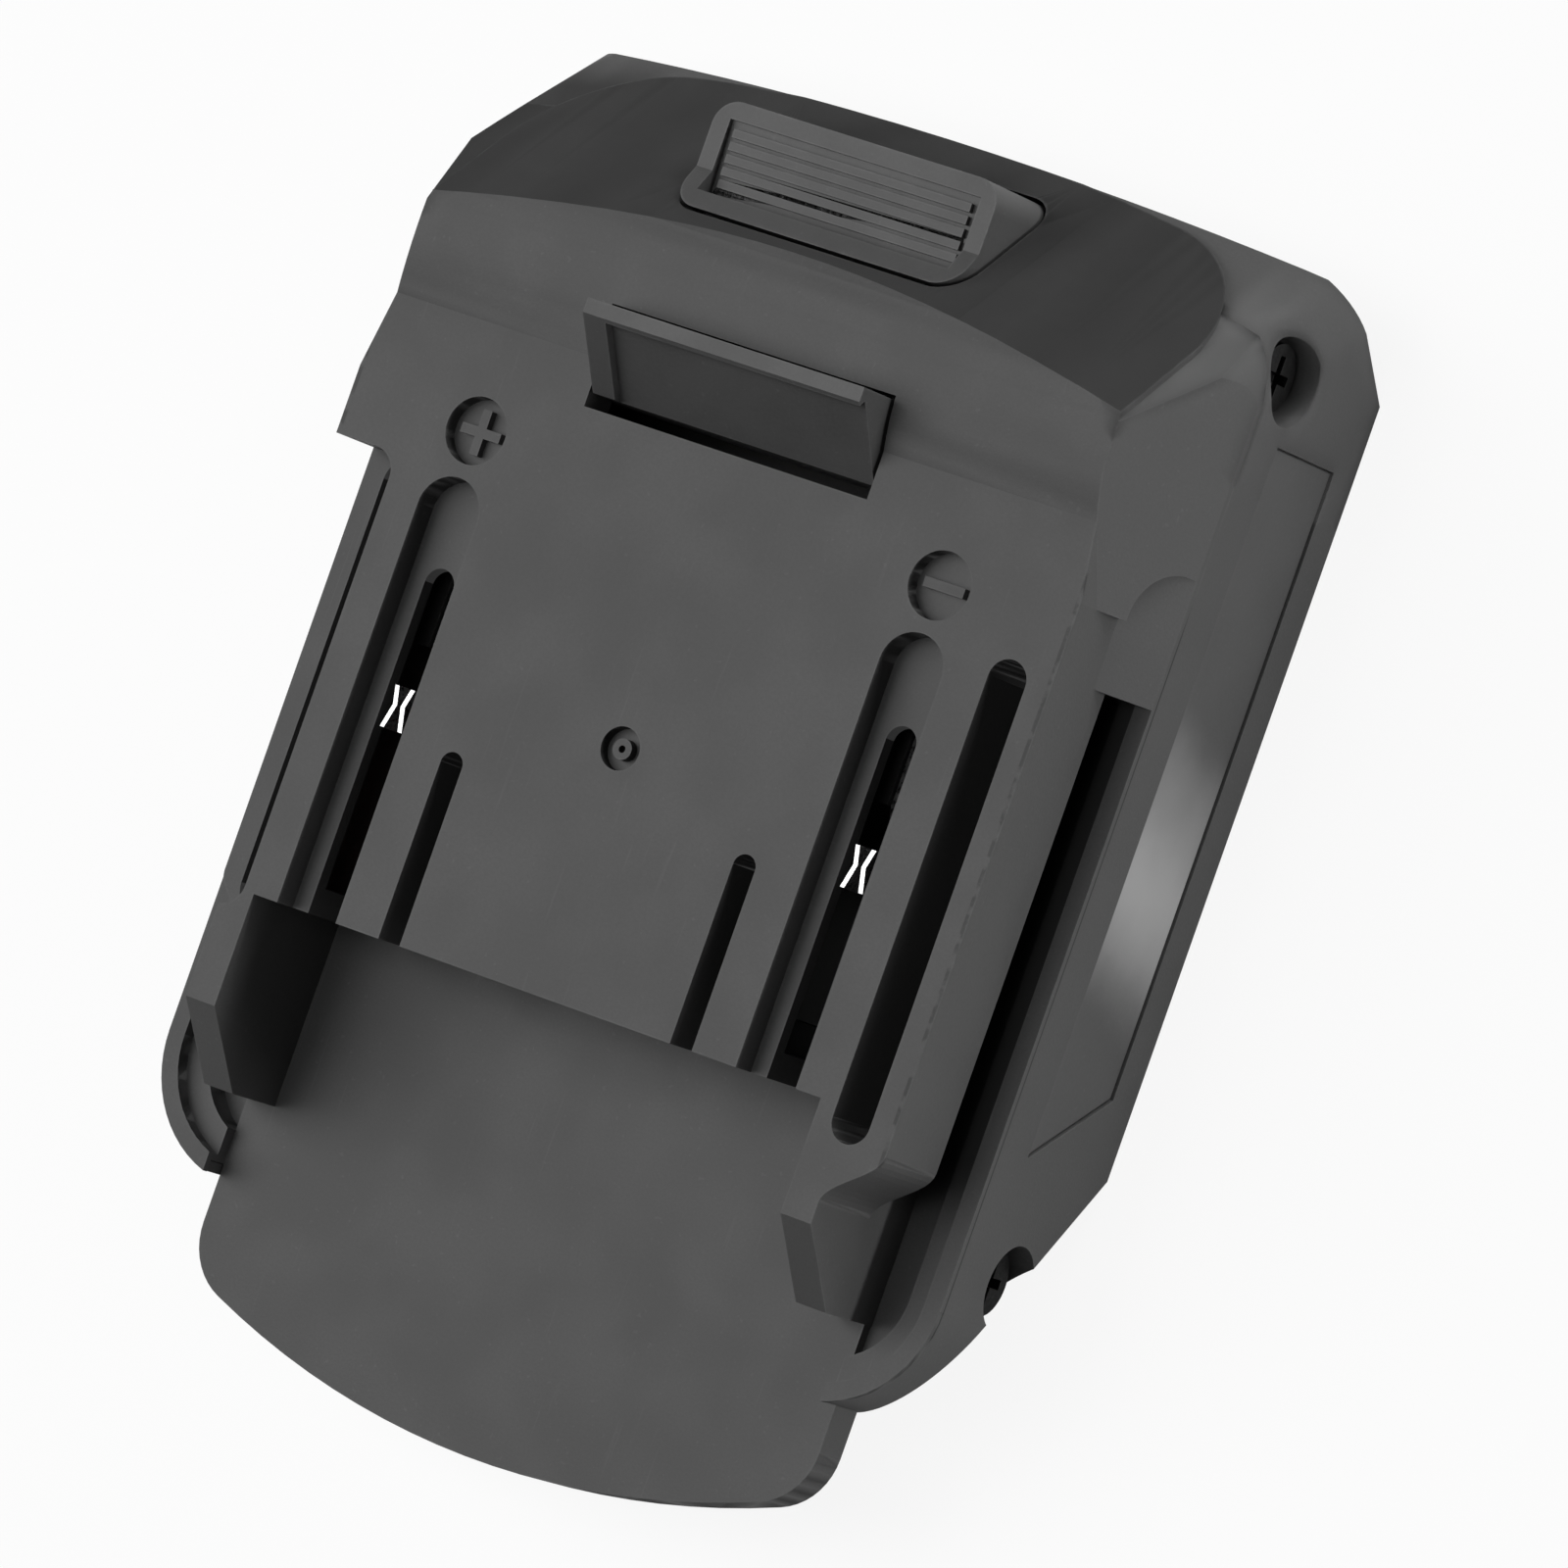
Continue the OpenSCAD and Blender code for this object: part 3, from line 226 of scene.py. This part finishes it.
def shell_face(f, level):
    """Darkens the front face within its outline and round its left corner, paints a highlight on the cheeks
    beside it and softens their shading.
    """
    x, y, z = f.axes()
    far = f.math("ABSOLUTE", x)
    forward = f.true_normal()[1]
    beside = f.math("MAXIMUM", f.math("SUBTRACT", far, FACE_HALF - FACE_CORNER), 0)
    under = f.math("MAXIMUM", f.math("SUBTRACT", FACE_FOOT + FACE_CORNER, z), 0)
    off = f.math("SQRT", f.math("ADD", f.both(beside, beside), f.both(under, under)))
    outline = f.ramp(off, FACE_CORNER + 0.1, FACE_CORNER - 0.05)
    round_left = f.both(f.ramp(x, -25, -28), f.ramp(z, 11, 16))
    face = f.math("MAXIMUM", f.both(outline, f.ramp(forward, 0.45, 0.6)),
                  f.both(round_left, f.ramp(forward, 0.15, 0.4)))
    front = f.ramp(y, FACE_REAR, FACE_REAR + 1)
    face = f.both(face, front)
    f.tone = f.mix(face, f.tone, grey(level * 0.42))
    f.gloss = f.math("ADD", f.gloss, f.both(face, 0.3))
    cheek = f.both(f.both(front, f.ramp(far, 30, 32)), f.math("SUBTRACT", 1, face))
    # Painted highlight: a lighter tone on the cheeks next to the face's outline stands in for a reflection.
    painted_cheek_highlight = f.both(f.both(cheek, f.ramp(off, FACE_CORNER + 7, FACE_CORNER)), f.ramp(forward, 0.1, 0.5))
    f.tone = f.mix(painted_cheek_highlight, f.tone, grey(level * 1.6))
    soft = f.node("Bevel", {"Radius": f.both(cheek, 3 * MM)}, samples=8).outputs[0]
    f.relief(f.grain, GRAIN_DEPTH, normal=soft)


def shell_wear_and_groove_shade(f, level):
    """Sliding scratches on top, rubbed edges, dark seam and flash lines, and painted shade in the rail grooves.
    """
    x, y, z = f.axes()
    far = f.math("ABSOLUTE", x)
    upward = f.true_normal()[2]
    scratch = f.both(f.ramp(f.noise(0.35, 2, (1, 0.03, 1)), 0.66, 0.74), f.ramp(f.noise(9, 3), 0.45, 0.6))
    scratch = f.both(scratch, f.ramp(upward, 0.8, 0.95))
    tone = f.mix(f.both(scratch, 0.3), f.tone, grey(level * 1.6))
    on_wall = f.ramp(far, WALL_X - 0.4, WALL_X - 0.2)
    seam = f.both(f.band(z, PARTING_H, 0.06, 0.08), f.both(on_wall, f.ramp(y, 28, 22)))
    flash = f.both(f.band(far, FLASH_X, 0.1, 0.12), f.ramp(z, PLATE_H - 0.4, PLATE_H - 0.2))
    flash = f.both(flash, f.ramp(f.noise(1.6, 4), 0.42, 0.55, 0, 0.7))
    worn = f.both(f.edges(0.3), f.ramp(f.noise(2.5, 4), 0.35, 0.65, 0.05, 0.4))
    tone = f.mix(worn, tone, grey(level * 1.9))
    tone = f.mix(f.math("MAXIMUM", seam, flash), tone, grey(level * 0.25))
    # Painted shade: the rail grooves are darkened to near black where the rail's shadow falls.
    ragged = f.math("ADD", far, f.ramp(f.noise(3, 3), 0.3, 0.7, -0.25, 0.25))
    below_rim = f.ramp(z, RIM_H - 0.05, RIM_H - 0.2)
    painted_groove_shade = f.both(f.band(ragged, GROOVE_X, GROOVE_HALF, 0.3), f.both(below_rim, f.ramp(y, 21, 18)))
    f.tone = f.mix(f.both(painted_groove_shade, f.ramp(y, -27, -20)), tone, grey(level * 0.15))


def shell_finish():
    """Shell plastic with a darker, matt front face, light wear, painted shade in the rail grooves and a painted
    highlight on the cheeks.
    """
    level = 0.056
    f = moulded("shell_plastic", level)
    shell_face(f, level)
    shell_wear_and_groove_shade(f, level)
    f.set(Base_Color=f.tone, Roughness=f.gloss, Specular_IOR_Level=0.4)
    return f.material


def latch_finish():
    """Latch plastic: smoother and a little glossier than the shell, with rubbed ribs."""
    level = 0.052
    f = moulded("latch_plastic", level, rough=0.56, grain_mm=0.3, grain_depth=0.006)
    worn = f.both(f.edges(0.3), f.ramp(f.noise(2, 4), 0.35, 0.65, 0.15, 0.6))
    f.set(Base_Color=f.mix(worn, f.tone, grey(level * 2.0)), Specular_IOR_Level=0.45)
    return f.material


def panel_finish():
    """Side panel plastic: smooth, with a glossier patch near its middle whose pale tone is a painted
    reflection.
    """
    level = 0.055
    f = moulded("panel_plastic", level, rough=0.5, grain_mm=0.35, grain_depth=0.003)
    _, y, z = f.axes()
    # Painted reflection: a pale streak across the panel stands in for a reflection, and the roughness is lower
    # there too.
    waver = f.math("MULTIPLY", f.math("SUBTRACT", f.noise(9, 3), 0.5), 5)
    along = f.math("ADD", f.math("SUBTRACT", y, f.math("MULTIPLY", z, 0.25)), waver)
    gloss_and_painted_reflection = f.math("ADD", f.both(f.band(along, 2.5, 5, 8), 0.5), f.both(f.band(along, 1.5, 0, 8), 0.5))
    gloss = f.math("SUBTRACT", f.gloss, f.both(gloss_and_painted_reflection, 0.15))
    f.set(Base_Color=f.mix(gloss_and_painted_reflection, f.tone, grey(level * 5.5)), Roughness=gloss, Specular_IOR_Level=0.5)
    return f.material


def metal_finish(name, level, rough, brush_mm=0.4, stretch=(1, 1, 1)):
    """Bright metal with fine rolling marks and dull patches."""
    f = Finish(name)
    marks = f.noise(brush_mm, 3, stretch)
    dull = f.noise(1.8, 3)
    tone = f.mix(f.ramp(dull, 0.35, 0.7, 0, 0.5), grey(level), grey(level * 0.72))
    f.set(Base_Color=tone, Metallic=1.0, Roughness=f.ramp(marks, 0.3, 0.7, rough - 0.08, rough + 0.1))
    f.relief(marks, 0.004)
    return f.material


def insulator_finish():
    """Carrier and terminal block plastic: near black and even."""
    f = moulded("insulator_plastic", 0.02, rough=0.6, grain_mm=0.4, grain_depth=0.003)
    f.set(Specular_IOR_Level=0.4)
    return f.material


def jacket_finish(name, colour):
    """Silicone jacket of a lead: soft sheen and slight smudges."""
    f = Finish(name)
    smudge = f.noise(1.5, 4)
    pale = tuple(c * 1.35 + 0.01 for c in colour[:3]) + (1,)
    f.set(Base_Color=f.mix(f.ramp(smudge, 0.4, 0.75, 0, 0.6), colour, pale))
    f.set(Roughness=f.ramp(smudge, 0.3, 0.7, 0.38, 0.55))
    f.relief(f.noise(0.3, 2), 0.004)
    return f.material


FINISHES = {
    "shell": shell_finish(),
    "latch": latch_finish(),
    "panel": panel_finish(),
    "insulator": insulator_finish(),
    "tinned": metal_finish("tinned_contact", 0.6, 0.3),
    "blade": metal_finish("plated_blade", 0.80, 0.24, 0.3, (1, 0.1, 1)),
    "spring": metal_finish("spring_steel", 0.55, 0.3),
    "screw": metal_finish("black_oxide_screw", 0.028, 0.5),
    "lead_red": jacket_finish("red_jacket", (0.40, 0.03, 0.02, 1)),
    "lead_black": jacket_finish("black_jacket", (0.02, 0.02, 0.022, 1)),
}


# Rounded edges on the solids

EDGE_ROUNDS = {"upper_shell": 0.25, "lower_shell": 0.3, "latch_slider": 0.2, "side_panel_left": 0.12,
               "side_panel_right": 0.12, "shell_screws": 0.1, "contact_carrier": 0.12, "terminal_block": 0.12,
               "positive_blade": 0.1, "negative_blade": 0.1, "positive_clip": 0.05, "negative_clip": 0.05}


def dress_nodes():
    """Gives each solid its slot's finish and softly rounded edges."""
    for name, node in NODES.items():
        slot = node.material_slots[0].material.name
        node.material_slots[0].material = FINISHES[slot]
        if name in EDGE_ROUNDS:
            round_edges(node, EDGE_ROUNDS[name] * MM)


def round_edges(node, width):
    weld = node.modifiers.new("weld", "WELD")
    weld.merge_threshold = 0.002 * MM
    flat = node.modifiers.new("flat", "DECIMATE")
    flat.decimate_type = "DISSOLVE"
    flat.angle_limit = math.radians(0.3)
    bevel = node.modifiers.new("bevel", "BEVEL")
    bevel.width = width
    bevel.segments = 2
    bevel.limit_method = "ANGLE"
    bevel.angle_limit = math.radians(32)
    bevel.harden_normals = True
    bevel.miter_outer = "MITER_ARC"
    normals = node.modifiers.new("normals", "WEIGHTED_NORMAL")
    normals.keep_sharp = True


# Latch springs

SPRING_X = 8
SPRING_Y = 37
SPRING_LOW = 10.6
SPRING_HIGH = 20.5
SPRING_D = 6
SPRING_WIRE = 0.7
SPRING_TURNS = 6


def tube(name, centres, radius, sides):
    """Closed mesh tube of one radius along a line of points."""
    verts, faces = [], []
    count = len(centres)
    for i, centre in enumerate(centres):
        ahead = (centres[min(i + 1, count - 1)] - centres[max(i - 1, 0)]).normalized()
        side = ahead.cross(Vector((0, 0, 1)) if abs(ahead.z) < 0.9 else Vector((1, 0, 0))).normalized()
        up = side.cross(ahead)
        for j in range(sides):
            a = 2 * math.pi * j / sides
            verts.append(centre + radius * (math.cos(a) * side + math.sin(a) * up))
    for i in range(count - 1):
        for j in range(sides):
            k = (j + 1) % sides
            faces.append((i * sides + j, i * sides + k, (i + 1) * sides + k, (i + 1) * sides + j))
    faces.append(tuple(range(sides)))
    faces.append(tuple(reversed(range((count - 1) * sides, count * sides))))
    mesh = bpy.data.meshes.new(name)
    mesh.from_pydata(verts, [], faces)
    mesh.shade_smooth()
    piece = bpy.data.objects.new(name, mesh)
    bpy.context.scene.collection.objects.link(piece)
    return piece


def spring_line(x):
    """Helix whose first and last turns close up, as on a ground compression spring."""
    steps = 32
    n = SPRING_TURNS * steps
    low = SPRING_LOW + SPRING_WIRE / 2
    rise = SPRING_HIGH - SPRING_LOW - SPRING_WIRE
    r = (SPRING_D - SPRING_WIRE) / 2
    points = []
    for i in range(n + 1):
        share = i / n
        eased = share - 0.55 * math.sin(2 * math.pi * share) / (2 * math.pi)
        a = 2 * math.pi * i / steps
        points.append(Vector((x + r * math.cos(a), SPRING_Y + r * math.sin(a), low + rise * eased)) * MM)
    return points


def add_springs():
    for side, x in (("left", -SPRING_X), ("right", SPRING_X)):
        piece = tube("coil_" + side, spring_line(x), SPRING_WIRE / 2 * MM, 12)
        piece.data.materials.append(FINISHES["spring"])
        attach(piece, "housing")
        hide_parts("latch_spring_" + side)
        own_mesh(piece)


# Leads

LEAD_X = 21.9
LEAD_R = 1.1
LEAD_ROUTE = [(-0.5, 13.3), (-3.5, 13.3), (-6.17, 12.93), (-9.83, 12.57), (-14.5, 12.2), (-18.4, 11.2),
              (-20.86, 11.2), (-21.96, 10.9), (-22.56, 10.2), (-22.76, 9.2), (-22.76, 8)]


def add_leads():
    """Round leads along the solids' route, from the clips over the deck and down to the blades."""
    for side, x, colour in (("negative", LEAD_X, "lead_black"), ("positive", -LEAD_X, "lead_red")):
        piece = tube(side + "_jacket", [Vector((x, y, z)) * MM for y, z in LEAD_ROUTE], LEAD_R * MM, 24)
        piece.data.materials.append(FINISHES[colour])
        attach(piece, "housing")
        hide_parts(side + "_lead")


# Floor and light

FLOOR_HALF = 4
LAMP_DISTANCE = 1.2
LAMPS = [  # name, direction from the part, width along X and Y, power
    ("key", (-0.58, 0, 0.815), (0.8, 1.3), 11.8),
    ("top", (0.02, 0, 1), (0.4, 1.0), 4.3),
    ("front", (0.35, 0.93, 0.10), (0.9, 0.4), 9),
    ("side", (1, 0.1, 0.04), (0.5, 0.12), 7)]


def add_floor():
    """Pale floor that the camera sees as white, with the part's soft shadow."""
    f = Finish("pale_floor")
    f.set(Base_Color=grey(0.8), Roughness=0.9, Specular_IOR_Level=0.1)
    path = f.node("LightPath").outputs
    seen = path["Is Camera Ray"]
    white = f.node("Emission", {"Color": grey(1), "Strength": 1.0}).outputs[0]
    shown = f.node("MixShader", {0: f.both(seen, 0.9), 1: f.bsdf.outputs[0], 2: white}).outputs[0]
    f.feed(f.tree.nodes["Material Output"].inputs[0], shown)
    corners = [(sx * FLOOR_HALF, sy * FLOOR_HALF, 0) for sx, sy in ((-1, -1), (1, -1), (1, 1), (-1, 1))]
    mesh = bpy.data.meshes.new("floor")
    mesh.from_pydata(corners, [], [(0, 1, 2, 3)])
    mesh.materials.append(f.material)
    floor = bpy.data.objects.new("floor", mesh)
    floor.location.z = CAD_BOX[0].z - 0.02 * MM
    bpy.context.scene.collection.objects.link(floor)


def add_lamp(name, direction, size, power):
    """Soft box that faces the part."""
    data = bpy.data.lights.new(name, "AREA")
    data.shape = "RECTANGLE"
    data.size, data.size_y = size
    data.energy = power
    lamp = bpy.data.objects.new(name, data)
    away = Vector(direction).normalized()
    lamp.location = away * LAMP_DISTANCE
    lamp.rotation_euler = away.to_track_quat("Z", "Y").to_euler()
    bpy.context.scene.collection.objects.link(lamp)


def add_light():
    world = bpy.data.worlds.new("studio")
    world.use_nodes = True
    back = world.node_tree.nodes["Background"]
    back.inputs[0].default_value = grey(1)
    back.inputs[1].default_value = 0.03
    bpy.context.scene.world = world
    for lamp in LAMPS:
        add_lamp(*lamp)
    bpy.context.scene.view_settings.view_transform = "Standard"


add_camera()
dress_nodes()
add_springs()
add_leads()
add_floor()
add_light()
